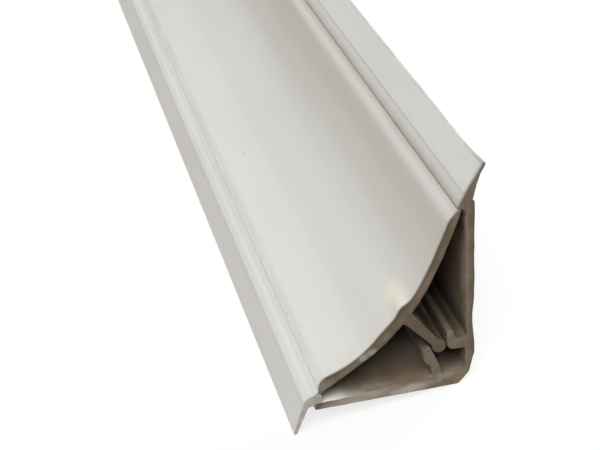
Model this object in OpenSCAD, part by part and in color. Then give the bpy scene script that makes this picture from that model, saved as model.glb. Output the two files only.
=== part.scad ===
// Wall sealing strip for a kitchen worktop: an extruded base profile, a clip-on
// cover profile, and two soft sealing lips welded to the ends of the base's legs.
// Every section is drawn with x running out from the wall plane and y running up
// from the worktop plane, so their shared corner is the section's zero point.

/* [Strip] */
// Length that the strip is cut to
length = 1000; // [100:10:3000]

/* [Base profile] */
// Height of the wall leg above the worktop plane
wall_leg_h = 25; // [22:0.5:32]
// Reach of the worktop leg from the wall plane
worktop_leg_w = 20; // [17:0.5:28]
// Thickness of the wall leg
wall_leg_t = 1.1; // [0.8:0.05:1.6]
// Thickness of the worktop leg at its free end
worktop_leg_t = 0.95; // [0.8:0.05:1.3]
// Thickness of the floor between the heel and the lower jaw
floor_t = 1.65; // [1.5:0.05:2]
// Width of the even strip at the worktop leg's free end, behind which the leg thickens to the floor
leg_even_w = 2; // [1.5:0.1:6]
// Height on the wall face at which the heel starts to turn in
heel_rise = 4.2; // [3:0.1:5]
// Reach on the underside at which the heel ends
heel_run = 2; // [1.5:0.1:2.6]
// Setback of the heel's shoulder from the wall plane
heel_set = 0.65; // [0.3:0.05:0.9]
// Height of the heel's shoulder
heel_shoulder = 1.5; // [0.8:0.1:2]
// Rounding of the heel's shoulder and of its inside corner
heel_r = 0.8; // [0.3:0.1:1.2]
// Rounding of the small corners of the base
edge_r = 0.2; // [0.05:0.05:0.3]

/* [Clip] */
// Distance of the tongue head's centre from the wall plane
clip_x = 4.45; // [4:0.05:5.5]
// Height of the tongue head's centre above the worktop plane
clip_y = 5.95; // [5.2:0.05:7]
// Diameter of the tongue's head
head_d = 1.8; // [1.5:0.05:2.2]
// Thickness of the tongue behind its head
tongue_t = 1.1; // [0.8:0.05:1.4]
// Thickness of the tongue where it leaves the cover
tongue_root_t = 1.85; // [1.4:0.05:2.6]
// Setback of the tongue's root from the middle of the cover, towards the worktop end
tongue_set = 0.5; // [0:0.1:1.5]
// Thickness of the upper jaw, which grows from the wall leg
upper_jaw_t = 1.45; // [1:0.05:1.7]
// Height of the upper jaw's top above the tongue head's centre
upper_jaw_rise = 0.6; // [0.5:0.05:0.8]
// Height of the upper jaw's upturned nib above the jaw
upper_nib_h = 1.25; // [0.5:0.05:1.5]
// Thickness of the upper jaw's nib
upper_nib_t = 0.85; // [0.6:0.05:1.1]
// Rounding of the upper jaw's corner below the tongue's head
upper_jaw_r = 0.9; // [0.3:0.05:0.95]
// Distance of the lower jaw's wall side from the wall plane, at its root
lower_jaw_x = 4; // [3.7:0.05:4.3]
// Thickness of the lower jaw's stem
lower_jaw_t = 1.15; // [0.9:0.05:1.4]
// Height of the lower jaw's stem, from the floor to its barb
lower_stem_h = 1.65; // [1.3:0.05:1.9]
// How far the lower jaw's stem leans out from the wall on its way up
lower_jaw_lean = 0.45; // [0.2:0.05:0.6]
// How far the lower jaw's barb stands out past its stem
lower_barb_out = 0.45; // [0.25:0.05:0.7]
// Rise of the barb's underside from the stem to the barb's point
lower_barb_rise = 0.2; // [0.1:0.05:0.4]
// Width of the lower jaw's tip
lower_tip_t = 1.05; // [0.8:0.05:1.3]
// Angle below the level at which the lower jaw's tip faces the tongue's head
lower_grip_a = 38; // [30:1:46]
// Gap between the tongue's head and each jaw
snap_gap = 0.1; // [0.05:0.05:0.3]

/* [Cover profile] */
// Radius of the cover's hollow face
cover_r = 31; // [24:1:60]
// Thickness of the cover
cover_t = 1.2; // [1:0.05:1.4]
// Radius by which the face rolls in at the wall end
wall_roll_r = 5; // [4:0.5:8]
// Length of the face that rolls in at the wall end
wall_roll_run = 2.2; // [1:0.1:2.4]
// Radius of the rounded nose at the worktop end, about a point on the cover's inner face
nose_r = 1.5; // [1.35:0.05:2]
// Radius by which the face flares out to the nose
flare_r = 20; // [8:1:24]
// Setback of the nose's tip from the end of the worktop leg
nose_set = 0.6; // [0.3:0.05:0.8]
// Gap between the cover and the lips' roots that it seats on
seat_gap = 0.15; // [0.05:0.05:0.3]
// Gap between the cover's wall end and the wall leg
wall_end_gap = 0.4; // [0.1:0.05:0.6]

/* [Lips] */
// Height of a lip's root above the face of its leg
lip_root_h = 1.1; // [0.8:0.05:1.3]
// Thickness of a flap at its tip
flap_tip_t = 0.4; // [0.25:0.05:0.5]
// Rounding of a flap's bend
knee_r = 0.9; // [0.3:0.1:1.2]

/* [Wall lip] */
// Width of the wall lip's root on the inner face of the wall leg
wall_lip_land = 1; // [0.8:0.05:1.4]
// Depth of the wall lip's root down the end of the wall leg
wall_lip_grip = 0.9; // [0.5:0.05:1]
// Reach of the wall lip's bend past the end of the wall leg
wall_lip_out = 0.4; // [0.35:0.05:0.8]
// Depth of the wall lip's bend below the inner face of the wall leg
wall_lip_drop = 0.4; // [0.2:0.05:0.6]
// Length of the wall lip's flap
wall_flap_len = 3.95; // [2.5:0.05:6]
// Thickness of the wall lip's flap at its bend
wall_flap_t = 1.2; // [0.8:0.05:1.3]
// Angle by which the wall lip leans towards the wall
wall_lip_bend = 25; // [22:1:45]

/* [Worktop lip] */
// Width of the worktop lip's root on the top face of the worktop leg
worktop_lip_land = 0.7; // [0.65:0.05:1.3]
// Depth of the worktop lip's root down the end of the worktop leg
worktop_lip_grip = 0.35; // [0.2:0.05:0.5]
// Reach of the worktop lip's bend past the end of the worktop leg
worktop_lip_out = 1.1; // [0.8:0.05:1.5]
// Depth of the worktop lip's bend below the top face of the worktop leg
worktop_lip_drop = 0.05; // [0:0.05:0.2]
// Length of the worktop lip's flap
worktop_flap_len = 3.9; // [2.5:0.1:6]
// Thickness of the worktop lip's flap at its bend
worktop_flap_t = 0.75; // [0.5:0.05:0.9]
// Angle by which the worktop lip hangs towards the worktop
worktop_lip_bend = 68; // [40:1:75]

/* [Hidden] */

// Straight steps in a rounded corner, and in each long or rolled face of the cover
corner_steps = 6;
face_steps = 24;
roll_steps = 8;
$fn = 48;

// Seats of the cover: a corner beside the wall lip's root, and the top of the worktop lip's root
wall_seat = [wall_leg_t + wall_end_gap, wall_leg_h - wall_lip_land - seat_gap];
nose_tip = [worktop_leg_w - nose_set, worktop_leg_t + lip_root_h + seat_gap];

// Centre of the cover's arcs, from its inner face, which runs through both seats
back_r = cover_r + cover_t;
chord = wall_seat - nose_tip;
outward = [chord.y, -chord.x] / norm(chord);
cover_c = (wall_seat + nose_tip) / 2 + outward * sqrt(pow(back_r, 2) - pow(norm(chord) / 2, 2));

// Polar angles about that centre, counted up from the wall end to the worktop end
wall_end_a = bearing(wall_seat - cover_c);
nose_end_a = bearing(nose_tip - cover_c);
wall_roll_a = wall_end_a + wall_roll_run / cover_r * 180 / PI;
wall_roll_c = cover_c + (cover_r + wall_roll_r) * ray(wall_roll_a);
wall_roll_end_a = 180 + asin((wall_seat.y - wall_roll_c.y) / wall_roll_r);
nose_a = nose_end_a - 2 * asin(nose_r / 2 / back_r);
nose_c = cover_c + back_r * ray(nose_a);

// The flare touches the hollow face from inside and the nose from outside
flare_c_r = cover_r - flare_r;
flare_turn = acos((pow(flare_c_r, 2) + pow(back_r, 2) - pow(flare_r + nose_r, 2)) / (2 * flare_c_r * back_r));
flare_a = nose_a - flare_turn;
flare_c = cover_c + flare_c_r * ray(flare_a);
flare_end_a = bearing(nose_c - flare_c);

// The tongue runs from the cover's inner face, near its middle, to the clip
clip = [clip_x, clip_y];
tongue_root = cover_c + back_r * ray((wall_end_a + nose_end_a) / 2 + tongue_set / back_r * 180 / PI);
tongue_len = norm(clip - tongue_root);
tongue_a = bearing(clip - tongue_root);

// The jaws stop one gap short of the tongue's head
upper_jaw_x = clip.x - head_d / 2 - snap_gap;
lower_tip = clip + (head_d / 2 + snap_gap) * ray(-lower_grip_a);

// Bends and tips of the lips, each drawn with x running out past the end of its leg
worktop_bend = [worktop_lip_out, worktop_leg_t - worktop_lip_drop];
wall_bend = [wall_lip_out, wall_leg_t - wall_lip_drop];
worktop_lip_tip = [worktop_leg_w, 0] + worktop_bend + worktop_flap_len * ray(-worktop_lip_bend);
wall_lip_tip = [wall_leg_h, 0] + wall_bend + wall_flap_len * ray(-wall_lip_bend);

// The strip rests on the worktop lip's tip and on the heel, so it leans a little to the wall
rest_span = worktop_lip_tip - [heel_run, 0];
rest_lean = -atan2(rest_span.y, rest_span.x) + asin(flap_tip_t / 2 / norm(rest_span));
rest_low = turned([heel_run, 0], rest_lean).y;
rest_out = turned(worktop_lip_tip, rest_lean).x + flap_tip_t / 2;
rest_in = turned([wall_lip_tip.y, wall_lip_tip.x], rest_lean).x - flap_tip_t / 2;

function ray(a) = [cos(a), sin(a)];
function bearing(v) = atan2(v.y, v.x) + (v.y < 0 ? 360 : 0);
function turned(p, a) = [p.x * cos(a) - p.y * sin(a), p.x * sin(a) + p.y * cos(a)];
function arc(c, r, from, to, steps) = [for (i = [0:steps]) c + r * ray(from + (to - from) * i / steps)];
// The points after the first, for an arc that goes on from the end of another
function onward(points) = [for (i = [1:len(points) - 1]) points[i]];

// Outline through corners given as [x, y, radius], each radius limited by its two sides
function rounded(corners) = [
    for (i = [0:len(corners) - 1])
        each corner_points(
            xy(corners[(i + len(corners) - 1) % len(corners)]),
            xy(corners[i]),
            xy(corners[(i + 1) % len(corners)]),
            corners[i][2])
];
function xy(p) = [p.x, p.y];
function corner_points(before, corner, after, r) =
    let (back = before - corner, ahead = after - corner)
    let (half = acos(back * ahead / norm(back) / norm(ahead)) / 2)
    let (reach = min(r / tan(half), 0.48 * norm(back), 0.48 * norm(ahead)))
    let (from = corner + back / norm(back) * reach, to = corner + ahead / norm(ahead) * reach)
    r == 0 ? [corner] : blend_points(corner, from, to, reach * tan(half), half);
function blend_points(corner, from, to, r, half) =
    let (inward = (from + to) / 2 - corner)
    let (c = corner + inward / norm(inward) * r / sin(half))
    let (a = bearing(from - c), raw = bearing(to - c) - a)
    let (sweep = raw > 180 ? raw - 360 : raw < -180 ? raw + 360 : raw)
    arc(c, r, a, a + sweep, corner_steps);

// Lays a section out along the strip, leaning as it rests and centred over its own footprint
module strip() {
    rotate([90, 0, 0])
        linear_extrude(length, center = true)
            translate([-(rest_in + rest_out) / 2, -rest_low])
                rotate(rest_lean)
                    children();
}

// Soft lip on the end of a leg: a root that wraps the leg's corner, and a flap that bends from it
module lip_section(leg_t, land, grip, bend, lean, flap_len, flap_t) {
    tip = bend + (flap_len + flap_tip_t / 2) * ray(-lean);
    side = ray(90 - lean);
    root_y = leg_t + lip_root_h;
    front = bend + side * flap_t / 2;
    slope = tip + side * flap_tip_t / 2 - front;
    knee_x = max(front.x + slope.x * (root_y - front.y) / slope.y, 2 * edge_r - land);
    foot = bend - side * flap_t / 2;
    under = tip - side * flap_tip_t / 2;
    over = tip + side * flap_tip_t / 2;
    polygon(rounded([
        [-land, leg_t, 0],
        [0, leg_t, 0],
        [0, leg_t - grip, 0],
        [foot.x, foot.y, knee_r / 2],
        [under.x, under.y, flap_tip_t / 2],
        [over.x, over.y, flap_tip_t / 2],
        [knee_x, root_y, knee_r],
        [-land, root_y, edge_r],
    ]));
}

// L-shaped rail with a turned-in heel, and the two jaws that grip the cover's tongue
module base_profile() {
    jaw_top = clip.y + upper_jaw_rise;
    jaw_low = jaw_top - upper_jaw_t;
    stem_x = lower_jaw_x + lower_jaw_lean;
    stem_y = floor_t + lower_stem_h;
    barb_x = stem_x + lower_jaw_t + lower_barb_out;
    color("gainsboro") strip()
        polygon(rounded([
            [worktop_leg_w, 0, edge_r],
            [heel_run, 0, 0],
            [heel_set, heel_shoulder, heel_r],
            [0, heel_rise, heel_r],
            [0, wall_leg_h, edge_r],
            [wall_leg_t, wall_leg_h, 0],
            [wall_leg_t, jaw_top, edge_r],
            [upper_jaw_x - upper_nib_t, jaw_top, edge_r],
            [upper_jaw_x - upper_nib_t, jaw_top + upper_nib_h, edge_r],
            [upper_jaw_x, jaw_top + upper_nib_h, edge_r],
            [upper_jaw_x, jaw_low, upper_jaw_r],
            [wall_leg_t, jaw_low, edge_r],
            [wall_leg_t, floor_t, heel_r],
            [lower_jaw_x, floor_t, edge_r],
            [stem_x, stem_y, lower_jaw_t],
            [lower_tip.x, lower_tip.y, edge_r],
            [lower_tip.x + lower_tip_t, lower_tip.y, edge_r],
            [barb_x, stem_y + lower_barb_rise, edge_r],
            [stem_x + lower_jaw_t, stem_y, edge_r],
            [lower_jaw_x + lower_jaw_t, floor_t, edge_r],
            [worktop_leg_w - leg_even_w, worktop_leg_t, edge_r],
            [worktop_leg_w, worktop_leg_t, 0],
        ]));
}

// Hollow-faced cover with a rolled wall end, a rounded nose at the worktop end and a headed tongue
module cover_profile() {
    color("whitesmoke") strip() {
        polygon(concat(
            arc(cover_c, back_r, wall_end_a, nose_end_a, face_steps),
            onward(arc(nose_c, nose_r, bearing(nose_tip - nose_c) - 360, flare_end_a - 180, roll_steps)),
            onward(arc(flare_c, flare_r, flare_end_a, flare_a, roll_steps)),
            onward(arc(cover_c, cover_r, flare_a, wall_roll_a, face_steps)),
            onward(arc(wall_roll_c, -wall_roll_r, wall_roll_a, wall_roll_end_a, roll_steps))
        ));
        translate(tongue_root) rotate(tongue_a)
            polygon([
                [-cover_t / 2, -tongue_root_t / 2],
                [0, -tongue_root_t / 2],
                [tongue_len, -tongue_t / 2],
                [tongue_len, tongue_t / 2],
                [0, tongue_root_t / 2],
                [-cover_t / 2, tongue_root_t / 2],
            ]);
        translate(clip) circle(d = head_d);
    }
}

// Soft lip that presses on the wall, swapped about the section's diagonal
module wall_lip() {
    color("white") strip()
        mirror([1, -1])
            translate([wall_leg_h, 0])
                lip_section(wall_leg_t, wall_lip_land, wall_lip_grip, wall_bend, wall_lip_bend,
                    wall_flap_len, wall_flap_t);
}

// Soft lip that presses on the worktop
module worktop_lip() {
    color("white") strip()
        translate([worktop_leg_w, 0])
            lip_section(worktop_leg_t, worktop_lip_land, worktop_lip_grip, worktop_bend, worktop_lip_bend,
                worktop_flap_len, worktop_flap_t);
}

base_profile();
cover_profile();
wall_lip();
worktop_lip();
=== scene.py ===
import math

import bpy
from mathutils import Matrix, Vector


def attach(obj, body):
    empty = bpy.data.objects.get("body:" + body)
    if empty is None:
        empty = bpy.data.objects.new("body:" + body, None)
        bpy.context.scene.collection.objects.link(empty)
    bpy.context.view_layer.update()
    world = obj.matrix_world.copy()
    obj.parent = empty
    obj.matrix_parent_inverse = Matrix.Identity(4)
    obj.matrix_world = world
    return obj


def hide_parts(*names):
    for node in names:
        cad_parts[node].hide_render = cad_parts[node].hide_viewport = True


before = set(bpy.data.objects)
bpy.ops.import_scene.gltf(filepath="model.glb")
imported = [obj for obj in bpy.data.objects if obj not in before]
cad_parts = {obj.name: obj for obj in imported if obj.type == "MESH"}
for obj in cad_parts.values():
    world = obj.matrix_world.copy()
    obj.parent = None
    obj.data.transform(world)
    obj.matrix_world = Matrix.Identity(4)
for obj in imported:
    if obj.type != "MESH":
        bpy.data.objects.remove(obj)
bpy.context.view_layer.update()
print("frame loaded:", ", ".join(sorted(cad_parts)))

# every section is in millimetres: x out from the wall plane, y up from the worktop plane
strip = {
    "length": 1.0,        # metres
    "rows": 241,          # cross sections along it, packed towards both ends
    "lean": 8.0775,       # degrees, as it rests on its heel and its worktop lip
    "middle": 8.8435,     # half way across its footprint
    "lowest": 0.281025,
    "spacing": 0.45,      # longest step along a section's outline
    "nearest": 0.002,     # outline points closer than this are one
    "cornerShare": 0.48,  # most of a side that one rounded corner takes up
}
halfLength = strip["length"] / 2


def put(tree, kind, inputs=None, **settings):
    node = tree.nodes.new(kind)
    for key, value in settings.items():
        setattr(node, key, value)
    for key, value in (inputs or {}).items():
        if isinstance(value, bpy.types.NodeSocket):
            tree.links.new(value, node.inputs[key])
        else:
            node.inputs[key].default_value = value
    return node


def calc(tree, operation, first, second=0.0, third=0.0):
    return put(tree, "ShaderNodeMath", {0: first, 1: second, 2: third}, operation=operation).outputs[0]


def vectorCalc(tree, operation, first, second):
    return put(tree, "ShaderNodeVectorMath", {0: first, 1: second}, operation=operation).outputs[0]


def scaled(tree, vector, factor):
    return put(tree, "ShaderNodeVectorMath", {0: vector, "Scale": factor}, operation="SCALE").outputs[0]


def dot(tree, first, second):
    return put(tree, "ShaderNodeVectorMath", {0: first, 1: second}, operation="DOT_PRODUCT").outputs["Value"]


def lengthOf(tree, vector):
    return put(tree, "ShaderNodeVectorMath", {0: vector}, operation="LENGTH").outputs["Value"]


def axes(tree, vector):
    return put(tree, "ShaderNodeSeparateXYZ", {0: vector}).outputs


def blend(tree, share, first, second):
    return put(tree, "ShaderNodeMix", {0: share, 6: first, 7: second}, data_type="RGBA").outputs[2]


def ramp(tree, value, low, high, toLow=0.0, toHigh=1.0):
    return put(tree, "ShaderNodeMapRange", {0: value, 1: low, 2: high, 3: toLow, 4: toHigh},
               interpolation_type="SMOOTHSTEP").outputs[0]


def noise(tree, vector, scale, detail=2.0, seed=0.0):
    return put(tree, "ShaderNodeTexNoise", {"Vector": vector, "W": seed, "Scale": scale, "Detail": detail},
               noise_dimensions="4D").outputs[0]


def ray(degrees):
    return Vector((math.cos(math.radians(degrees)), math.sin(math.radians(degrees))))


def bearing(vector):
    return math.degrees(math.atan2(vector.y, vector.x)) % 360


def arcPoints(centre, radius, start, stop, steps):
    return [centre + radius * ray(start + (stop - start) * i / steps) for i in range(steps + 1)]


# a closed outline through (x, y, radius) corners, each radius limited by its two sides
def roundedOutline(corners, steps=7):
    outline = []
    for i, (x, y, radius) in enumerate(corners):
        corner = Vector((x, y))
        back = Vector(corners[i - 1][:2]) - corner
        ahead = Vector(corners[(i + 1) % len(corners)][:2]) - corner
        if radius == 0:
            outline.append(corner)
            continue
        half = back.angle(ahead) / 2
        reach = min(radius / math.tan(half), strip["cornerShare"] * min(back.length, ahead.length))
        start = corner + back.normalized() * reach
        stop = corner + ahead.normalized() * reach
        inward = ((start + stop) / 2 - corner).normalized()
        centre = corner + inward * reach * math.tan(half) / math.sin(half)
        sweep = (bearing(stop - centre) - bearing(start - centre) + 180) % 360 - 180
        first = bearing(start - centre)
        outline += arcPoints(centre, (start - centre).length, first, first + sweep, steps)
    return outline


# extra points on long sides, so that a cut edge can wander
def evenOutline(outline, spacing):
    points = []
    for i, point in enumerate(outline):
        following = outline[(i + 1) % len(outline)]
        steps = max(1, math.ceil((following - point).length / spacing))
        points += [point.lerp(following, k / steps) for k in range(steps)]
    return [p for i, p in enumerate(points) if (p - points[i - 1]).length > strip["nearest"]]


# where the line through two points comes on to a circle, nearest to the second point
def lineOnCircle(start, stop, centre, radius):
    along = (stop - start).normalized()
    foot = start + along * (centre - start).dot(along)
    reach = math.sqrt(radius ** 2 - (foot - centre).length_squared)
    return min((foot + along * reach, foot - along * reach), key=lambda p: (p - stop).length)


# a point or a direction of the section, leaned as the strip rests, in the strip's own frame
def placed(x, y, along=0.0):
    point = Matrix.Rotation(math.radians(strip["lean"]), 2) @ Vector((x, y))
    return ((point.x - strip["middle"]) / 1000, along, (point.y - strip["lowest"]) / 1000)


def leaned(degrees):
    turned = ray(degrees + strip["lean"])
    return (turned.x, 0.0, turned.y)


# the section as a ring of edges, in metres
def sectionMesh(name, outline):
    points = [placed(p.x, p.y) for p in evenOutline(outline, strip["spacing"])]
    mesh = bpy.data.meshes.new(name)
    count = len(points)
    mesh.from_pydata([(x, z, 0) for x, _, z in points], [(i, (i + 1) % count) for i in range(count)], [])
    return mesh


# limits and noise seeds that every swept piece shares
sweepRules = {
    "capFacing": 0.9, "fullyFaced": 0.7, "hardAngle": 38.0,
    "acrossSeed": 0.0, "alongSeed": 7.0, "waveSeed": 19.0,
}


# sweeps a section along the strip, roughens both sawn ends, and raises or dents two places
def sweepTree():
    tree = bpy.data.node_groups.new("sweepSection", "GeometryNodeTree")
    sockets = {}
    for name, kind in (
        ("Section", "Geometry"), ("Length", "Float"), ("Rows", "Int"), ("Edge Round", "Float"),
        ("Cut Wander", "Float"), ("Cut Reach", "Float"), ("Wander Scale", "Float"),
        ("Swell Place", "Vector"), ("Swell Size", "Vector"), ("Swell Facing", "Vector"), ("Swell Height", "Float"),
        ("Tail Place", "Vector"), ("Tail Size", "Vector"), ("Tail Facing", "Vector"), ("Tail Height", "Float"),
        ("Wave Height", "Float"), ("Wave Scale", "Float"), ("Seed", "Float"), ("Finish", "Material"),
    ):
        sockets[name] = tree.interface.new_socket(name, in_out="INPUT", socket_type="NodeSocket" + kind)
    tree.interface.new_socket("Strip", in_out="OUTPUT", socket_type="NodeSocketGeometry")
    given = put(tree, "NodeGroupInput").outputs

    # rows crowd towards the ends with the square of the distance from the middle
    half = calc(tree, "MULTIPLY", given["Length"], 0.5)
    line = put(tree, "GeometryNodeCurvePrimitiveLine", {"End": (0, 0, 1)})
    path = put(tree, "GeometryNodeResampleCurve", {"Curve": line.outputs[0], "Count": given["Rows"]})
    factor = put(tree, "GeometryNodeSplineParameter").outputs["Factor"]
    signed = calc(tree, "MULTIPLY_ADD", factor, 2.0, -1.0)
    inset = calc(tree, "SUBTRACT", 1.0, calc(tree, "ABSOLUTE", signed))
    crowded = calc(tree, "SUBTRACT", 1.0, calc(tree, "MULTIPLY", inset, inset))
    height = calc(tree, "MULTIPLY", calc(tree, "MULTIPLY", calc(tree, "SIGN", signed), crowded), half)
    rows = put(tree, "GeometryNodeSetPosition", {
        "Geometry": path.outputs[0],
        "Position": put(tree, "ShaderNodeCombineXYZ", {"Z": height}).outputs[0],
    })
    section = put(tree, "GeometryNodeMeshToCurve", {"Mesh": given["Section"]})
    swept = put(tree, "GeometryNodeCurveToMesh", {
        "Curve": rows.outputs[0], "Profile Curve": section.outputs[0], "Fill Caps": True,
    })
    laid = put(tree, "GeometryNodeTransform", {
        "Geometry": swept.outputs[0], "Rotation": (math.pi / 2, 0, 0),
    })

    # the end faces are marked for the finish
    normal = put(tree, "GeometryNodeInputNormal").outputs[0]
    endways = calc(tree, "ABSOLUTE", axes(tree, normal)[1])
    isCap = calc(tree, "GREATER_THAN", endways, sweepRules["capFacing"])
    marked = put(tree, "GeometryNodeStoreNamedAttribute", {
        "Geometry": laid.outputs[0], "Name": "sawn", "Value": isCap,
    }, data_type="FLOAT", domain="FACE")

    place = put(tree, "GeometryNodeInputPosition").outputs[0]
    along = axes(tree, place)[1]
    fromEnd = calc(tree, "SUBTRACT", half, calc(tree, "ABSOLUTE", along))
    nearEnd = ramp(tree, fromEnd, 0.0, given["Cut Reach"], 1.0, 0.0)
    sideways = vectorCalc(tree, "NORMALIZE", vectorCalc(tree, "MULTIPLY", normal, (1, 0, 1)), (0, 0, 0))

    def wander(scale, seed):
        turned = calc(tree, "ADD", given["Seed"], seed)
        return calc(tree, "MULTIPLY_ADD", noise(tree, place, scale, seed=turned), 2.0, -1.0)

    # the cut's edge is rounded off with a quarter circle
    turn = put(tree, "ShaderNodeClamp", {
        0: calc(tree, "SUBTRACT", 1.0, calc(tree, "DIVIDE", fromEnd, given["Edge Round"])),
    }).outputs[0]
    level = calc(tree, "SQRT", calc(tree, "SUBTRACT", 1.0, calc(tree, "MULTIPLY", turn, turn)))
    rounded = calc(tree, "MULTIPLY", calc(tree, "SUBTRACT", 1.0, level), given["Edge Round"])

    # the saw wanders: the edge shifts across and along the strip
    acrossWander = wander(given["Wander Scale"], sweepRules["acrossSeed"])
    across = calc(tree, "MULTIPLY", calc(tree, "MULTIPLY", acrossWander, nearEnd), given["Cut Wander"])
    across = calc(tree, "SUBTRACT", across, rounded)
    outward = calc(tree, "MULTIPLY", calc(tree, "SIGN", along), nearEnd)
    alongWander = wander(given["Wander Scale"], sweepRules["alongSeed"])
    lengthways = calc(tree, "MULTIPLY", calc(tree, "MULTIPLY", alongWander, outward), given["Cut Wander"])
    lengthways = calc(tree, "SUBTRACT", lengthways, calc(tree, "MULTIPLY", outward, given["Cut Wander"]))
    wave = calc(tree, "MULTIPLY", wander(given["Wave Scale"], sweepRules["waveSeed"]), given["Wave Height"])
    offset = scaled(tree, sideways, calc(tree, "ADD", across, wave))
    offset = vectorCalc(tree, "ADD", offset, put(tree, "ShaderNodeCombineXYZ", {"Y": lengthways}).outputs[0])

    # bell-shaped swellings, or dents where the height is below zero, on the side that faces the given way
    for spot in ("Swell", "Tail"):
        away = vectorCalc(tree, "DIVIDE", vectorCalc(tree, "SUBTRACT", place, given[spot + " Place"]),
                          given[spot + " Size"])
        spread = calc(tree, "MULTIPLY", dot(tree, away, away), -1.0)
        faced = dot(tree, sideways, given[spot + " Facing"])
        bell = calc(tree, "MULTIPLY", calc(tree, "EXPONENT", spread),
                    ramp(tree, faced, 0.0, sweepRules["fullyFaced"]))
        raised = calc(tree, "MULTIPLY", bell, given[spot + " Height"])
        offset = vectorCalc(tree, "ADD", offset, scaled(tree, given[spot + " Facing"], raised))
    shaped = put(tree, "GeometryNodeSetPosition", {"Geometry": marked.outputs[0], "Offset": offset})

    # smooth faces with hard corners
    smooth = put(tree, "GeometryNodeSetShadeSmooth", {"Geometry": shaped.outputs[0], "Shade Smooth": True})
    bend = put(tree, "GeometryNodeInputMeshEdgeAngle").outputs["Unsigned Angle"]
    sharp = calc(tree, "GREATER_THAN", bend, math.radians(sweepRules["hardAngle"]))
    hard = put(tree, "GeometryNodeSetShadeSmooth", {
        "Geometry": smooth.outputs[0], "Selection": sharp, "Shade Smooth": False,
    }, domain="EDGE")
    real = put(tree, "GeometryNodeRealizeInstances", {"Geometry": hard.outputs[0]})
    finished = put(tree, "GeometryNodeSetMaterial", {"Geometry": real.outputs[0], "Material": given["Finish"]})
    put(tree, "NodeGroupOutput", {0: finished.outputs[0]})
    return tree, {name: socket.identifier for name, socket in sockets.items()}


sweep, sweepInputs = sweepTree()
print("sweep tree built:", len(sweep.nodes), "nodes")


def sweptPiece(name, node, outline, finish, shape):
    piece = bpy.data.objects.new(name, sectionMesh(name + "Section", outline))
    bpy.context.scene.collection.objects.link(piece)
    modifier = piece.modifiers.new("sweep", "NODES")
    modifier.node_group = sweep
    plain = {
        "Swell Place": (0, 0, 0), "Swell Size": (1, 1, 1), "Swell Facing": (0, 0, 1), "Swell Height": 0.0,
        "Tail Place": (0, 0, 0), "Tail Size": (1, 1, 1), "Tail Facing": (0, 0, 1), "Tail Height": 0.0,
        "Wave Height": 0.0, "Wave Scale": 8.0,
    }
    values = {"Length": strip["length"], "Rows": strip["rows"], "Finish": finish, **plain, **shape}
    for key, value in values.items():
        modifier[sweepInputs[key]] = value
    graph = bpy.context.evaluated_depsgraph_get()
    mesh = bpy.data.meshes.new_from_object(piece.evaluated_get(graph), preserve_all_data_layers=True,
                                           depsgraph=graph)
    section = piece.data
    piece.modifiers.clear()
    piece.data = mesh
    mesh.name = name
    bpy.data.meshes.remove(section)
    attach(piece, "root")
    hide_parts(node)
    print(name, "swept:", len(mesh.vertices), "points,", len(mesh.polygons), "faces")


# what every PVC finish shares: stretches, scales per metre and limits of its textures, and its sheen
pvc = {
    "drawnStretch": (1, 0.004, 1), "mottleStretch": (1, 0.35, 1), "sawStretch": (1, 1, 0.35),
    "grainScale": 2600.0, "stainScale": 420.0, "blotchScale": 520.0, "chipScale": 330.0, "sawMarkScale": 1500.0,
    "mottleLimits": (0.36, 0.64), "stainLimits": (0.35, 0.7), "spotLimits": (0.2, 1.0), "spotCloud": 0.9,
    "blotchLimits": (0.32, 0.68), "chipLimits": (0.6, 0.68), "chipStrength": 0.5,
    "fringeLimits": (0.2, 0.55), "fringeLeast": 0.4, "fringeStrength": 0.75,
    "polishLimits": (0.3, 0.7), "polishSpread": 0.05, "sawnRoughness": 0.75, "ior": 1.5,
    "reliefHeight": 0.001, "scatterRadius": (1.0, 0.9, 0.7), "scatterScale": 0.0004,
}


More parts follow.
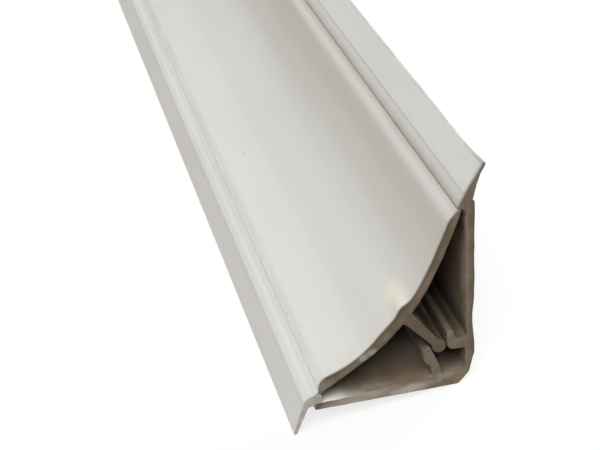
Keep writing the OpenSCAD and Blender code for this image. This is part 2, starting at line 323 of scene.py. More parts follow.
# off-white PVC: drawn lines from the die, faint mottling, and dull brownish sawn ends
def pvcFinish(name, look):
    material = bpy.data.materials.new(name)
    material.use_nodes = True
    tree = material.node_tree
    tree.nodes.clear()
    place = put(tree, "ShaderNodeTexCoord").outputs["Object"]

    def stretched(stretch):
        return put(tree, "ShaderNodeMapping", {"Vector": place, "Scale": stretch}).outputs[0]

    drawn = stretched(pvc["drawnStretch"])
    dieLines = noise(tree, drawn, look["dieLineScale"], 3.0, seed=1.0)
    mottle = noise(tree, stretched(pvc["mottleStretch"]), look["mottleScale"], 3.0, seed=2.0)
    grain = noise(tree, place, pvc["grainScale"], 2.0, seed=3.0)
    streak = noise(tree, drawn, look["dieLineScale"] / 4, 3.0, seed=9.0)
    mottled = ramp(tree, calc(tree, "MULTIPLY", calc(tree, "ADD", mottle, streak), 0.5), *pvc["mottleLimits"])
    colour = blend(tree, mottled, look["shade"], look["light"])

    # a zone of the section painted a colour of its own: painted shade in the hollows of base and cover, painted
    # light on the lips' thin flaps
    rested = (strip["middle"] / 1000, 0, strip["lowest"] / 1000)
    unleaned = put(tree, "ShaderNodeMapping", {
        "Vector": vectorCalc(tree, "ADD", place, rested), "Rotation": (0, math.radians(strip["lean"]), 0),
    }).outputs[0]
    paintedZone = blend(tree, mottled, look["zoneShade"], look["zoneLight"])
    colour = blend(tree, look["paintedZone"](tree, unleaned), colour, paintedZone)

    # a dusty, yellowed band behind the cut
    fromMiddle = calc(tree, "ABSOLUTE", axes(tree, place)[1])
    endBand = ramp(tree, fromMiddle, halfLength - look["endBand"], halfLength)
    dust = ramp(tree, noise(tree, place, pvc["stainScale"], 3.0, seed=4.0), *pvc["stainLimits"])
    handled = calc(tree, "MULTIPLY", endBand, dust)
    colour = blend(tree, calc(tree, "MULTIPLY", handled, look["endStain"]), colour, look["stain"])

    # places painted paler or darker, each a soft ellipsoid: most are painted light and painted shade, a few are
    # specks of dirt and pale marks
    def spotted(colour, spots):
        for spot in spots:
            away = vectorCalc(tree, "DIVIDE", vectorCalc(tree, "SUBTRACT", place, spot["place"]), spot["size"])
            ragged = noise(tree, place, spot["ragged"], 3.0, seed=5.0)
            cloud = calc(tree, "MULTIPLY_ADD", ragged, pvc["spotCloud"], -pvc["spotCloud"] / 2)
            edge = calc(tree, "ADD", lengthOf(tree, away), cloud)
            within = ramp(tree, edge, *pvc["spotLimits"], spot["strength"], 0.0)
            colour = blend(tree, within, colour, spot["colour"])
        return colour

    colour = spotted(colour, look["spots"])

    # the sawn face: blotchy brown, smeared pale where it chipped, and worn in a little over its edge
    sawn = put(tree, "ShaderNodeAttribute", attribute_name="sawn").outputs["Fac"]
    blotch = noise(tree, place, pvc["blotchScale"], 4.0, seed=6.0)
    chips = ramp(tree, noise(tree, place, pvc["chipScale"], 3.0, seed=7.0), *pvc["chipLimits"])
    cutColour = blend(tree, ramp(tree, blotch, *pvc["blotchLimits"]), look["cutDark"], look["cutLight"])
    cutColour = blend(tree, calc(tree, "MULTIPLY", chips, pvc["chipStrength"]), cutColour, look["chip"])
    cutColour = blend(tree, look["rim"](tree, unleaned), cutColour, look["rimColour"])
    cutColour = spotted(cutColour, look["cutSpots"])
    fringe = ramp(tree, fromMiddle, halfLength - look["fringe"], halfLength, 0.0, pvc["fringeStrength"])
    worn = ramp(tree, blotch, *pvc["fringeLimits"], pvc["fringeLeast"], 1.0)
    overEdge = calc(tree, "MAXIMUM", sawn, calc(tree, "MULTIPLY", fringe, worn))
    colour = blend(tree, overEdge, colour, cutColour)

    smoothest, roughest = look["roughness"] - pvc["polishSpread"], look["roughness"] + pvc["polishSpread"]
    polish = ramp(tree, mottle, *pvc["polishLimits"], smoothest, roughest)
    roughness = put(tree, "ShaderNodeMix", {0: sawn, 2: polish, 3: pvc["sawnRoughness"]}).outputs[0]
    drawnRelief = calc(tree, "ADD", calc(tree, "MULTIPLY", dieLines, look["dieLines"]),
                       calc(tree, "MULTIPLY", grain, look["grain"]))
    sawMarks = noise(tree, stretched(pvc["sawStretch"]), pvc["sawMarkScale"], 4.0, seed=8.0)
    sawnRelief = calc(tree, "MULTIPLY", sawMarks, look["sawMarks"])
    relief = put(tree, "ShaderNodeMix", {0: sawn, 2: drawnRelief, 3: sawnRelief}).outputs[0]
    bump = put(tree, "ShaderNodeBump", {
        "Strength": 1.0, "Distance": pvc["reliefHeight"], "Height": relief,
    }).outputs[0]
    surface = put(tree, "ShaderNodeBsdfPrincipled", {
        "Base Color": colour, "Roughness": roughness, "Normal": bump,
        "IOR": pvc["ior"], "Specular IOR Level": look["specular"], "Subsurface Weight": look["softness"],
        "Subsurface Radius": pvc["scatterRadius"], "Subsurface Scale": pvc["scatterScale"],
    })
    put(tree, "ShaderNodeOutputMaterial", {"Surface": surface.outputs[0]})
    return material


# L-shaped rail: turned-in heel, two legs and the jaws that grip the cover's tongue
base = {
    "wallLeg": 25.0, "worktopLeg": 20.0, "wallThickness": 1.1, "worktopThickness": 0.95,
    "floorThickness": 1.65, "floorBlend": 3.0, "evenWidth": 2.0, "wallTopRound": 0.5,
    "wallWaist": 0.95, "waistTop": 1.4, "waistBelow": 2.2, "waistRound": 0.3,
    "heelRise": 4.2, "heelRun": 2.0, "heelSet": 0.65, "heelShoulder": 1.5, "heelRound": 0.8, "heelFoot": 0.5,
    "upperJawEnd": 3.45, "upperJawTop": 6.55, "upperJawThickness": 1.45, "upperJawRound": 0.9,
    "upperNib": 0.85, "nibHeight": 1.25, "nibSlope": 0.25, "valleyRound": 0.58,
    "lowerJawStart": 4.0, "stemThickness": 1.15, "stemHeight": 1.65, "stemLean": 0.45,
    "barbOut": 0.6, "barbRise": 0.48, "lowerTip": (5.6, 6.02), "lowerTipOut": (6.47, 5.45), "tipRound": 0.28,
    "edge": 0.18,
}


def baseOutline(b):
    edge = b["edge"]
    jawTop = b["upperJawTop"]
    jawLow = jawTop - b["upperJawThickness"]
    nibBack = b["upperJawEnd"] - b["upperNib"]
    stem = b["lowerJawStart"] + b["stemLean"]
    stemTop = b["floorThickness"] + b["stemHeight"]
    return roundedOutline([
        (b["worktopLeg"], 0, edge),
        (b["heelRun"], 0, b["heelFoot"]),
        (b["heelSet"], b["heelShoulder"], b["heelRound"]),
        (0, b["heelRise"], b["heelRound"]),
        (0, b["wallLeg"], b["wallTopRound"]),
        (b["wallThickness"], b["wallLeg"], 0),
        (b["wallThickness"], b["wallLeg"] - b["waistTop"], b["waistRound"]),
        (b["wallWaist"], b["wallLeg"] - b["waistBelow"], b["waistRound"]),
        (b["wallWaist"], jawTop, edge * 1.5),
        (nibBack - b["nibSlope"], jawTop, b["valleyRound"]),
        (nibBack, jawTop + b["nibHeight"], edge * 1.5),
        (b["upperJawEnd"], jawTop + b["nibHeight"], edge * 2),
        (b["upperJawEnd"], jawLow, b["upperJawRound"]),
        (b["wallThickness"], jawLow, edge * 1.5),
        (b["wallThickness"], b["floorThickness"], b["heelRound"]),
        (b["lowerJawStart"], b["floorThickness"], edge),
        (stem, stemTop, b["stemThickness"]),
        (*b["lowerTip"], b["tipRound"]),
        (*b["lowerTipOut"], b["tipRound"]),
        (stem + b["stemThickness"] + b["barbOut"], stemTop + b["barbRise"], edge),
        (stem + b["stemThickness"], stemTop, edge),
        (b["lowerJawStart"] + b["stemThickness"], b["floorThickness"], edge * 1.5),
        (b["worktopLeg"] - b["evenWidth"], b["worktopThickness"], b["floorBlend"]),
        (b["worktopLeg"], b["worktopThickness"], 0),
    ])


# how the painted shade in the hollows and the darkening of the sawn faces run, in metres of the upright section
darkened = {
    "cutFade": (0.4925, 0.4975), "deepShare": 0.5, "upFade": (0.0055, 0.0085), "upShare": 0.85,
    "wallSkin": (0.0005, 0.0009), "floorSkin": (0.0003, 0.0008), "legFade": (0.014, 0.019), "legShare": 0.2,
    "faceSkin": (-0.0001, 0.0002), "rollFade": (0.0222, 0.0228),
    "wallRim": (0.0, 0.0009), "wallRimShare": 0.6, "faceRim": (0.0001, 0.0006), "faceRimShare": 0.7,
}


# painted shade: the hollows are painted dull brown near the cuts, and paler farther in, the lower one more
def nearCut(tree, unleaned):
    across = axes(tree, unleaned)
    fromMiddle = calc(tree, "ABSOLUTE", across[1])
    return calc(tree, "MAXIMUM", ramp(tree, fromMiddle, *darkened["cutFade"], darkened["deepShare"], 1.0),
                ramp(tree, across[2], *darkened["upFade"], 0.0, darkened["upShare"]))


# painted shade on the hollow side of both legs and the jaws, the worktop leg less towards its lip, where light
# gets in
def baseHollowShade(tree, unleaned):
    across = axes(tree, unleaned)
    inside = calc(tree, "MULTIPLY", ramp(tree, across[0], *darkened["wallSkin"]),
                  ramp(tree, across[2], *darkened["floorSkin"]))
    brown = calc(tree, "MULTIPLY", ramp(tree, across[0], *darkened["legFade"], 1.0, darkened["legShare"]),
                 nearCut(tree, unleaned))
    return calc(tree, "MULTIPLY", inside, brown)


# painted shade: the sawn wall leg is darker towards its outer face
def baseRimShade(tree, unleaned):
    return ramp(tree, axes(tree, unleaned)[0], *darkened["wallRim"], darkened["wallRimShare"], 0.0)


# the sawn ends' dark brown is partly the sawn face's own colour and partly painted shade
rigidCut = {
    "cutDark": (0.185, 0.148, 0.104, 1), "cutLight": (0.26, 0.217, 0.163, 1), "chip": (0.42, 0.38, 0.31, 1),
    "rimColour": (0.145, 0.112, 0.078, 1),
}
baseFinish = pvcFinish("basePvc", {
    **rigidCut,
    "light": (0.71, 0.69, 0.645, 1), "shade": (0.66, 0.64, 0.59, 1), "stain": (0.66, 0.64, 0.59, 1),
    # painted shade: the dark brown of the base's hollows
    "paintedZone": baseHollowShade, "zoneLight": (0.27, 0.21, 0.152, 1), "zoneShade": (0.20, 0.152, 0.107, 1),
    "rim": baseRimShade, "endBand": 0.003, "endStain": 0.4, "fringe": 0.0003,
    "roughness": 0.48, "specular": 0.4, "softness": 0.0,
    "dieLineScale": 2400.0, "mottleScale": 90.0, "dieLines": 0.02, "grain": 0.004, "sawMarks": 0.12,
    "spots": [
        # painted shade in the jaws, the valley, the heel's inner corner and the lower hollow
        {"place": placed(3.0, 6.8, 0.0), "size": (0.0024, 9, 0.0026), "ragged": 100.0, "strength": 0.85,
         "colour": (0.13, 0.10, 0.07, 1)},
        {"place": placed(1.9, 7.3), "size": (0.0016, 9, 0.0022), "ragged": 100.0, "strength": 0.8,
         "colour": (0.13, 0.10, 0.07, 1)},
        {"place": placed(2.6, 1.9), "size": (0.002, 9, 0.0016), "ragged": 100.0, "strength": 0.3,
         "colour": (0.12, 0.085, 0.055, 1)},
        {"place": placed(8.5, 1.4, 0.497), "size": (0.005, 0.012, 0.0016), "ragged": 60.0, "strength": 0.65,
         "colour": (0.125, 0.085, 0.052, 1)},
        {"place": placed(2.6, 8.0, 0.48), "size": (0.0036, 0.0215, 0.0034), "ragged": 60.0, "strength": 1.0,
         "colour": (0.035, 0.026, 0.017, 1)},
        {"place": placed(1.7, 6.9, 0.485), "size": (0.0016, 0.0175, 0.0019), "ragged": 60.0, "strength": 1.0,
         "colour": (0.03, 0.022, 0.015, 1)},
        {"place": placed(6.0, 5.8, 0.499), "size": (0.0014, 0.008, 0.0014), "ragged": 60.0, "strength": 0.8,
         "colour": (0.13, 0.10, 0.072, 1)},
        # painted light on the inner wall face and on the worktop leg's top just inside the opening
        {"place": placed(1.1, 17.0, 0.5), "size": (0.0009, 0.005, 0.011), "ragged": 60.0, "strength": 0.5,
         "colour": (0.50, 0.43, 0.35, 1)},
        {"place": placed(1.2, 23.0, 0.5), "size": (0.0012, 0.006, 0.0028), "ragged": 60.0, "strength": 0.8,
         "colour": (0.56, 0.50, 0.42, 1)},
        {"place": placed(18.6, 0.95, 0.5), "size": (0.0040, 0.0034, 0.0018), "ragged": 120.0, "strength": 1.0,
         "colour": (0.88, 0.87, 0.83, 1)},
    ],
    "cutSpots": [
        {"place": placed(3.6, 7.7, 0.5), "size": (0.0012, 0.002, 0.001), "ragged": 900.0, "strength": 0.6,
         "colour": (0.38, 0.325, 0.25, 1)},
        {"place": placed(8.4, 0.5, 0.5), "size": (0.0042, 0.002, 0.001), "ragged": 900.0, "strength": 0.85,
         "colour": (0.60, 0.56, 0.46, 1)},
        {"place": placed(14.5, 0.5, 0.5), "size": (0.007, 0.002, 0.0014), "ragged": 600.0, "strength": 0.85,
         "colour": (0.52, 0.48, 0.405, 1)},
        {"place": placed(3.9, 1.6, 0.5), "size": (0.0018, 0.002, 0.001), "ragged": 900.0, "strength": 0.7,
         "colour": (0.42, 0.375, 0.30, 1)},
        {"place": placed(2.0, 0.9, 0.5), "size": (0.0013, 0.002, 0.0016), "ragged": 1100.0, "strength": 0.45,
         "colour": (0.36, 0.285, 0.16, 1)},
    ],
})
sweptPiece("baseProfile", "base_profile", baseOutline(base)[::-1], baseFinish, {
    "Edge Round": 0.00005, "Cut Wander": 0.00012, "Cut Reach": 0.0015, "Wander Scale": 380.0, "Seed": 11.0,
    "Swell Place": placed(0.0, 9.0, 0.5), "Swell Size": (0.001, 0.0015, 0.0022), "Swell Facing": leaned(180),
    "Swell Height": -0.00025,
})

# hollow-faced cover: rolled wall end, flared nose, and a tongue with a round head
cover = {
    "faceRadius": 31.0, "thickness": 1.2, "wallEnd": (1.5, 23.85), "noseTip": (19.35, 2.07),
    "rollRadius": 3.4, "rollRun": 2.2, "rollTurn": 22.0, "noseRadius": 1.8, "flareRadius": 17.0,
    "clip": (4.45, 5.95), "headRadius": 0.9, "tongueRoot": 1.5, "tongueNeck": 1.1, "tongueSet": 0.5,
    "rootRound": 0.25, "rollTip": 0.42, "noseEdge": 0.25, "noseSkip": 3,
    "noseThin": 0.28, "thinStart": 0.3, "thinRun": 0.8,
    "straighten": 0.34, "straightPeak": 0.75, "straightFade": 0.6,
    "centre": (32.781, 31.488),
    "steps": {"inner": 22, "head": 26, "nose": 14, "flare": 10, "face": 44, "roll": 10},
}


def coverOutline(c):
    wallEnd, noseTip, clip = Vector(c["wallEnd"]), Vector(c["noseTip"]), Vector(c["clip"])
    faceRadius, steps = c["faceRadius"], c["steps"]
    backRadius = faceRadius + c["thickness"]
    chord = wallEnd - noseTip
    outward = Vector((chord.y, -chord.x)).normalized()
    rise = math.sqrt(backRadius ** 2 - (chord.length / 2) ** 2)
    centre = (wallEnd + noseTip) / 2 + outward * rise
    wallAngle, noseAngle = bearing(wallEnd - centre), bearing(noseTip - centre)

    # nose about a point on the inner face, and the flare that leads out to it
    noseTurn = noseAngle - math.degrees(2 * math.asin(c["noseRadius"] / 2 / backRadius))
    nose = centre + backRadius * ray(noseTurn)
    flareReach = faceRadius - c["flareRadius"]
    opposite = c["flareRadius"] + c["noseRadius"]
    flareAngle = noseTurn - math.degrees(math.acos(
        (flareReach ** 2 + backRadius ** 2 - opposite ** 2) / (2 * flareReach * backRadius)))
    flare = centre + flareReach * ray(flareAngle)
    flareEnd = bearing(nose - flare)

    # roll towards the wall, with a flat end
    rollAngle = wallAngle + math.degrees(c["rollRun"] / faceRadius)
    roll = centre + (faceRadius + c["rollRadius"]) * ray(rollAngle)
    rollEnd = rollAngle + c["rollTurn"]
    flat = roll - c["rollRadius"] * ray(rollEnd)
    flatEnd = flat + ray(rollEnd + 90) * (wallEnd.y - flat.y) / ray(rollEnd + 90).y

    # tongue: both sides run from the inner face to the head
    rootAngle = (wallAngle + noseAngle) / 2 + math.degrees(c["tongueSet"] / backRadius)
    root = centre + backRadius * ray(rootAngle)
    axis = (clip - root).normalized()
    side = Vector((axis.y, -axis.x))
    edges = []
    for sign in (1, -1):
        atRoot = root + side * sign * c["tongueRoot"] / 2
        atNeck = clip + side * sign * c["tongueNeck"] / 2
        edges.append((lineOnCircle(atNeck, atRoot, centre, backRadius),
                      lineOnCircle(atNeck, atRoot, clip, c["headRadius"])))
    (wallRoot, wallNeck), (noseRoot, _) = edges
    neckTurn = math.degrees(math.asin(c["tongueNeck"] / 2 / c["headRadius"]))
    head = arcPoints(clip, c["headRadius"], bearing(wallNeck - clip),
                     bearing(wallNeck - clip) + 360 - 2 * neckTurn, steps["head"])

    # the wall thins towards the nose
    inner = arcPoints(centre, backRadius, bearing(noseRoot - centre), noseAngle, steps["inner"])
    for step, p in enumerate(inner):
        part = max(0.0, step / steps["inner"] - c["thinStart"])
        thin = c["noseThin"] * math.sin(math.pi * part / c["thinRun"])
        inner[step] = p + (centre - p).normalized() * thin

    # above the tongue the wall is straighter than its arc
    def straightened(p):
        share = max(0.0, (rootAngle - bearing(p - centre)) / (rootAngle - rollAngle))
        past = share - c["straightPeak"]
        turn = share / c["straightPeak"] if past < 0 else 1 + past / c["straightFade"]
        return p + (centre - p).normalized() * c["straighten"] * math.sin(math.pi / 2 * min(turn, 2.0)) ** 2

    wallEnd, flatEnd = straightened(wallEnd), straightened(flatEnd)

    def plain(points):
        return [(p.x, p.y, 0) for p in map(straightened, points)]

    return roundedOutline([
        (wallEnd.x, wallEnd.y, c["rollTip"]),
        *plain(arcPoints(centre, backRadius, wallAngle, bearing(wallRoot - centre), steps["inner"])[1:-1]),
        (wallRoot.x, wallRoot.y, c["rootRound"]),
        *[(p.x, p.y, 0) for p in head],
        (noseRoot.x, noseRoot.y, c["rootRound"]),
        *plain(inner[1:-1]),
        (inner[-1].x, inner[-1].y, c["noseEdge"]),
        *plain(arcPoints(nose, c["noseRadius"], bearing(noseTip - nose) - 360, flareEnd - 180,
                         steps["nose"])[c["noseSkip"]:]),
        *plain(arcPoints(flare, c["flareRadius"], flareEnd, flareAngle, steps["flare"])[1:]),
        *plain(arcPoints(centre, faceRadius, flareAngle, rollAngle, steps["face"])[1:]),
        *plain(arcPoints(roll, -c["rollRadius"], rollAngle, rollEnd, steps["roll"])[1:]),
        (flatEnd.x, flatEnd.y, c["rollTip"]),
    ])


# how far a point lies behind the middle of the cover's wall
def behindFace(tree, unleaned):
    centre = (cover["centre"][0] / 1000, 0, cover["centre"][1] / 1000)
    flat = vectorCalc(tree, "MULTIPLY", vectorCalc(tree, "SUBTRACT", unleaned, centre), (1, 0, 1))
    return calc(tree, "SUBTRACT", lengthOf(tree, flat), (cover["faceRadius"] + cover["thickness"] / 2) / 1000)


# painted shade on the back of the face and the tongue, up to where the wall end rolls in
def coverHollowShade(tree, unleaned):
    inside = calc(tree, "MULTIPLY", ramp(tree, behindFace(tree, unleaned), *darkened["faceSkin"]),
                  ramp(tree, axes(tree, unleaned)[2], *darkened["rollFade"], 1.0, 0.0))
    return calc(tree, "MULTIPLY", inside, nearCut(tree, unleaned))


# the sawn cover is darker towards both of its faces and on the tongue
def coverRim(tree, unleaned):
    fromMiddle = calc(tree, "ABSOLUTE", behindFace(tree, unleaned))
    return ramp(tree, fromMiddle, *darkened["faceRim"], 0.0, darkened["faceRimShare"])


coverFinish = pvcFinish("coverPvc", {
    **rigidCut,
    "light": (0.73, 0.735, 0.705, 1), "shade": (0.705, 0.705, 0.67, 1), "stain": (0.62, 0.57, 0.44, 1),
    # painted shade: the dark brown of the cover's back in the hollow
    "paintedZone": coverHollowShade, "zoneLight": (0.32, 0.24, 0.165, 1), "zoneShade": (0.26, 0.19, 0.13, 1),
    "rim": coverRim, "endBand": 0.004, "endStain": 0.3, "fringe": 0.0004,
    "roughness": 0.42, "specular": 0.45, "softness": 0.0,
    "dieLineScale": 1500.0, "mottleScale": 60.0, "dieLines": 0.012, "grain": 0.003, "sawMarks": 0.12,
    "spots": [
        # painted shade on the steep upper part of the face
        {"place": placed(3.9, 20.6), "size": (0.0022, 9, 0.0038), "ragged": 25.0, "strength": 0.9,
         "colour": (0.635, 0.605, 0.56, 1)},
        {"place": placed(5.2, 17.2), "size": (0.003, 9, 0.005), "ragged": 25.0, "strength": 0.55,
         "colour": (0.655, 0.63, 0.585, 1)},
        # painted shade in the crease under the wall lip, and on the tongue in the hollow
        {"place": placed(1.9, 24.2), "size": (0.0014, 9, 0.0014), "ragged": 40.0, "strength": 0.8,
         "colour": (0.50, 0.47, 0.42, 1)},
        {"place": placed(5.3, 7.4), "size": (0.0042, 9, 0.0042), "ragged": 60.0, "strength": 1.0,
         "colour": (0.075, 0.056, 0.038, 1)},
        # painted light on the nose's flank
        {"place": placed(19.5, 3.0), "size": (0.0011, 9, 0.0014), "ragged": 60.0, "strength": 1.0,
         "colour": (0.95, 0.95, 0.925, 1)},
        *[{"place": placed(x, y, 0.5 - back), "size": (0.0004, 0.0005, 0.0004), "ragged": 900.0, "strength": 0.45,
           "colour": (0.50, 0.47, 0.42, 1)}
          for x, y, back in ((18.9, 3.9, 0.0108), (19.3, 3.5, 0.0165), (18.8, 3.8, 0.019), (19.2, 3.6, 0.0316),
                             (18.7, 4.0, 0.0396), (15.6, 5.65, 0.060))],
        {"place": placed(8.8, 12.0, 0.498), "size": (0.0021, 0.0075, 0.0021), "ragged": 420.0, "strength": 0.75,
         "colour": (0.86, 0.84, 0.72, 1)},
    ],
    "cutSpots": [
        # painted shade on the sawn face near the wall end
        {"place": placed(3.5, 21.4, 0.5), "size": (0.0014, 0.002, 0.0022), "ragged": 500.0, "strength": 0.75,
         "colour": (0.17, 0.128, 0.082, 1)},
        # painted highlights on the sawn face at the tongue root
        {"place": placed(12.75, 6.75, 0.5), "size": (0.0009, 0.002, 0.0007), "ragged": 1200.0, "strength": 0.8,
         "colour": (0.50, 0.47, 0.38, 1)},
        {"place": placed(13.8, 6.2, 0.5), "size": (0.0009, 0.002, 0.0008), "ragged": 1200.0, "strength": 0.8,
         "colour": (0.54, 0.50, 0.46, 1)},
        # painted light on the sawn face near the nose
        {"place": placed(18.6, 3.2, 0.5), "size": (0.0018, 0.002, 0.0014), "ragged": 900.0, "strength": 0.5,
         "colour": (0.40, 0.37, 0.32, 1)},
    ],
})
sweptPiece("coverProfile", "cover_profile", coverOutline(cover), coverFinish, {
    "Edge Round": 0.0001, "Cut Wander": 0.00007, "Cut Reach": 0.0015, "Wander Scale": 420.0, "Seed": 23.0,
    "Swell Place": placed(8.85, 11.8, 0.5), "Swell Size": (0.001, 0.0035, 0.001), "Swell Facing": leaned(40),
    "Swell Height": 0.00042,
    "Tail Place": placed(10.8, 9.5, 0.5), "Tail Size": (0.0034, 0.016, 0.0034), "Tail Facing": leaned(46),
    "Tail Height": 0.00036,
})

# soft lips on the ends of the legs, drawn with x out past the leg's end and y up from its outer face
lips = {
    "rootHeight": 1.1, "rootStep": 0.32, "knee": 0.9,
    "wall": {"leg": 1.1, "land": 1.13, "grip": 0.9, "out": 0.4, "drop": 0.4, "flap": 3.95, "flapThickness": 1.2,
             "lean": 25.0, "edge": 0.7, "foot": 0.6, "tip": 0.46, "waist": [(0.4, 0.25), (0.75, 0.1)],
             "front": [(0.95, 1.25, 0.5), (0.55, 1.37, 0.5), (0.12, 1.64, 0.5)], "flapFade": (0.0252, 0.0262)},
    "worktop": {"leg": 0.95, "land": 0.9, "grip": 0.35, "out": 1.1, "drop": 0.05, "flap": 3.9,
                "flapThickness": 0.75, "lean": 68.0, "edge": 0.2, "foot": 0.0, "tip": 0.4, "waist": [],
                "front": [(1.30, 1.54, 0.9), (0.66, 2.08, 0.9), (0.2, 2.14, 0.04), (0.14, 2.12, 0.04),
                          (0.08, 2.18, 0.04), (-0.40, 2.62, 0.12), (-0.50, 2.66, 0.03), (-0.53, 2.40, 0.03),
                          (-0.56, 2.2, 0.03), (-0.58, 2.05, 0.04)], "flapFade": (0.0208, 0.0218)},
}


def lipOutline(shared, lip):
    leg, land, tipHalf = lip["leg"], lip["land"], lip["tip"] / 2
    bend = Vector((lip["out"], leg - lip["drop"]))
    tip = bend + (lip["flap"] + tipHalf) * ray(-lip["lean"])
    side = ray(90 - lip["lean"])
    knee = bend - side * lip["flapThickness"] / 2
    under, over = tip - side * tipHalf, tip + side * tipHalf
    waist = [bend.lerp(tip, part) - side * back for part, back in lip["waist"]]
    return roundedOutline([
        (-land - lip["foot"], leg, 0),
        (0, leg, 0),
        (0, leg - lip["grip"], 0),
        (knee.x, knee.y, shared["knee"] / 2),
        *[(p.x, p.y, shared["knee"]) for p in waist],
        (under.x, under.y, tipHalf),
        (over.x, over.y, tipHalf),
        *lip["front"],
        (-land, leg + shared["rootHeight"], lip["edge"]),
        (-land, leg + shared["rootStep"], 0),
    ])


def noRim(tree, unleaned):
    return 0.0


# painted light: the thin flaps are painted whiter than the roots, for the light that comes through them
def wallFlapPaintedLight(tree, unleaned):
    return ramp(tree, axes(tree, unleaned)[2], *lips["wall"]["flapFade"])


def worktopFlapPaintedLight(tree, unleaned):
    return ramp(tree, axes(tree, unleaned)[0], *lips["worktop"]["flapFade"])


lipLook = {
    "light": (0.72, 0.727, 0.705, 1), "shade": (0.695, 0.70, 0.675, 1), "stain": (0.60, 0.55, 0.45, 1),
    # painted light: the whiter colour of the flaps
    "zoneLight": (0.87, 0.875, 0.85, 1), "zoneShade": (0.84, 0.84, 0.81, 1),
    "cutDark": (0.19, 0.15, 0.11, 1), "cutLight": (0.26, 0.22, 0.17, 1), "chip": (0.42, 0.38, 0.31, 1),
    "endBand": 0.003, "endStain": 0.25, "fringe": 0.0006, "roughness": 0.4, "specular": 0.45, "softness": 0.1,
    "dieLineScale": 1800.0, "mottleScale": 70.0, "dieLines": 0.02, "grain": 0.003, "sawMarks": 0.08,
    "rim": noRim, "rimColour": (0, 0, 0, 1), "spots": [], "cutSpots": [],
}
wallLipFinish = pvcFinish("wallLipPvc", {
    **lipLook, "paintedZone": wallFlapPaintedLight,
    "light": (0.725, 0.722, 0.705, 1), "shade": (0.695, 0.69, 0.67, 1),
    # painted light: the whiter colour of the wall lip's flap
    "zoneLight": (0.79, 0.798, 0.772, 1), "zoneShade": (0.755, 0.76, 0.732, 1),
    "spots": [
        # painted shade in the crease against the cover's rolled end
        {"place": placed(2.25, 23.9), "size": (0.0012, 9, 0.0015), "ragged": 100.0, "strength": 0.6,
         "colour": (0.48, 0.435, 0.37, 1)},
        {"place": placed(2.3, 23.8), "size": (0.0007, 9, 0.0008), "ragged": 100.0, "strength": 0.6,
         "colour": (0.33, 0.29, 0.235, 1)},
        # painted shade along the flap's free edge
        {"place": placed(-0.95, 29.5), "size": (0.0006, 9, 0.0006), "ragged": 200.0, "strength": 0.8,
         "colour": (0.44, 0.43, 0.46, 1)},
    ],
})
worktopLipFinish = pvcFinish("worktopLipPvc", {
    **lipLook, "paintedZone": worktopFlapPaintedLight,
    "spots": [
        {"place": placed(22.2, 0.2, 0.4694), "size": (0.0005, 0.0006, 0.0005), "ragged": 900.0, "strength": 0.5,
         "colour": (0.52, 0.49, 0.44, 1)},
    ],
    "cutDark": (0.50, 0.47, 0.43, 1), "cutLight": (0.66, 0.65, 0.60, 1), "chip": (0.66, 0.65, 0.60, 1),
    "fringe": 0.0001,
})
lipShape = {
    "Edge Round": 0.0001, "Cut Wander": 0.00006, "Cut Reach": 0.0015, "Wander Scale": 420.0,
    "Wave Height": 0.00003, "Wave Scale": 14.0,
}
wallLipOutline = [Vector((p.y, base["wallLeg"] + p.x)) for p in reversed(lipOutline(lips, lips["wall"]))]
worktopLipOutline = [Vector((base["worktopLeg"] + p.x, p.y)) for p in lipOutline(lips, lips["worktop"])]
sweptPiece("wallLip", "wall_lip", wallLipOutline, wallLipFinish, {
    **lipShape, "Seed": 31.0,
    "Swell Place": placed(-1.0, 29.2, 0.5), "Swell Size": (0.0009, 0.003, 0.0009), "Swell Facing": leaned(115),
    "Swell Height": 0.0003,
})
sweptPiece("worktopLip", "worktop_lip", worktopLipOutline, worktopLipFinish, {
    **lipShape, "Edge Round": 0.00001, "Cut Wander": 0.00001, "Wave Height": 0.00001, "Seed": 43.0,
})

# plain pale floor: white to the camera, a dimmer bounce for everything else
stage = {"half": 3.0, "seenColour": (0.9, 0.9, 0.9, 1), "bounceColour": (0.175, 0.144, 0.106, 1), "glow": 0.78}


def floorFinish():
    material = bpy.data.materials.new("paleFloor")
    material.use_nodes = True
    tree = material.node_tree
    tree.nodes.clear()
    path = put(tree, "ShaderNodeLightPath").outputs
    seen = calc(tree, "MAXIMUM", path["Is Camera Ray"], path["Is Transmission Ray"])
    colour = blend(tree, seen, stage["bounceColour"], stage["seenColour"])
    matte = put(tree, "ShaderNodeBsdfDiffuse", {"Color": colour}).outputs[0]
    white = put(tree, "ShaderNodeEmission", {"Color": (1, 1, 1, 1), "Strength": 1.0}).outputs[0]
    glow = calc(tree, "MULTIPLY", seen, stage["glow"])
    mixed = put(tree, "ShaderNodeMixShader", {0: glow, 1: matte, 2: white})
    put(tree, "ShaderNodeOutputMaterial", {"Surface": mixed.outputs[0]})
    return material


floorMesh = bpy.data.meshes.new("floor")
half = stage["half"]
corners = [(-half, -half, 0), (half, -half, 0), (half, half, 0), (-half, half, 0)]
floorMesh.from_pydata(corners, [], [(0, 1, 2, 3)])
floorMesh.materials.append(floorFinish())
floor = bpy.data.objects.new("floor", floorMesh)
bpy.context.scene.collection.objects.link(floor)

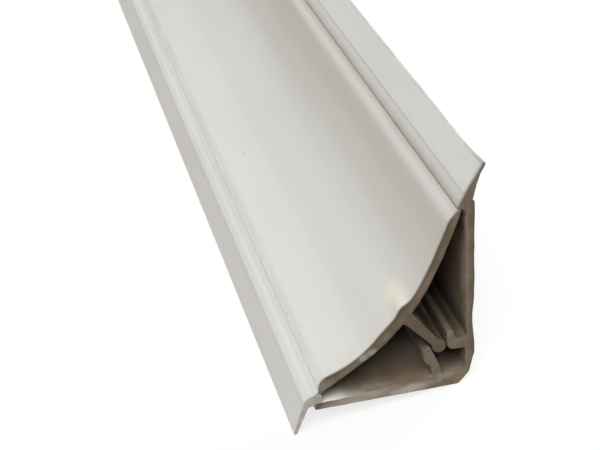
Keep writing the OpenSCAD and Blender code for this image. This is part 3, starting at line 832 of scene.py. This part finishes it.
# three broad soft lights, a small one over the near end, and a weak warm surround that the camera sees white
lights = {
    "broad": [
        {"name": "topLight", "from": (0.12, 0.6, 1.0), "strength": 2.88, "spread": 45.0},
        {"name": "sideLight", "from": (1.0, 0.1, 0.35), "strength": 0.5, "spread": 60.0},
        {"name": "backLight", "from": (-0.8, -0.6, 0.35), "strength": 2.6, "spread": 40.0},
    ],
    "nearPlace": (0.12, 0.5, 0.6), "nearAim": (0, 0.45, 0), "nearWidth": 0.25, "nearPower": 0.4,
    "surround": 0.06, "surroundColour": (1, 0.86, 0.68, 1), "seenColour": (0.97, 0.97, 0.97, 1),
}
for broad in lights["broad"]:
    lamp = bpy.data.lights.new(broad["name"], "SUN")
    lamp.energy = broad["strength"]
    lamp.angle = math.radians(broad["spread"])
    lampObject = bpy.data.objects.new(broad["name"], lamp)
    lampObject.rotation_euler = Vector(broad["from"]).to_track_quat("Z", "Y").to_euler()
    bpy.context.scene.collection.objects.link(lampObject)
nearLamp = bpy.data.lights.new("nearLamp", "AREA")
nearLamp.energy = lights["nearPower"]
nearLamp.size = lights["nearWidth"]
nearObject = bpy.data.objects.new("nearLamp", nearLamp)
nearObject.location = lights["nearPlace"]
nearAway = Vector(lights["nearPlace"]) - Vector(lights["nearAim"])
nearObject.rotation_euler = nearAway.to_track_quat("Z", "Y").to_euler()
bpy.context.scene.collection.objects.link(nearObject)
world = bpy.data.worlds.new("surround")
world.use_nodes = True
sky = world.node_tree
sky.nodes.clear()
weak = put(sky, "ShaderNodeBackground", {
    "Color": lights["surroundColour"], "Strength": lights["surround"],
}).outputs[0]
plainWhite = put(sky, "ShaderNodeBackground", {"Color": lights["seenColour"], "Strength": 1.0}).outputs[0]
skySeen = put(sky, "ShaderNodeMixShader", {
    0: put(sky, "ShaderNodeLightPath").outputs["Is Camera Ray"], 1: weak, 2: plainWhite,
})
put(sky, "ShaderNodeOutputWorld", {"Surface": skySeen.outputs[0]})
bpy.context.scene.world = world
print("floor and lights placed")

# the camera looks down the strip on to its near cut end
view = {
    "place": (0.026727, 0.6426, 0.111325),
    "right": (-0.95278, 0.23714, -0.18951),
    "up": (-0.28159, -0.45714, 0.84362),
    "lens": 90.0, "sensor": 36.0, "clipStart": 0.005,
}
right = Vector(view["right"]).normalized()
up = (Vector(view["up"]) - right * Vector(view["up"]).dot(right)).normalized()
cameraData = bpy.data.cameras.new("camera")
cameraData.lens = view["lens"]
cameraData.sensor_width = view["sensor"]
cameraData.clip_start = view["clipStart"]
camera = bpy.data.objects.new("camera", cameraData)
camera.matrix_world = Matrix((right, up, right.cross(up))).transposed().to_4x4()
camera.matrix_world.translation = view["place"]
bpy.context.scene.collection.objects.link(camera)
bpy.context.scene.camera = camera
bpy.context.scene.view_settings.view_transform = "Standard"
print("camera placed")
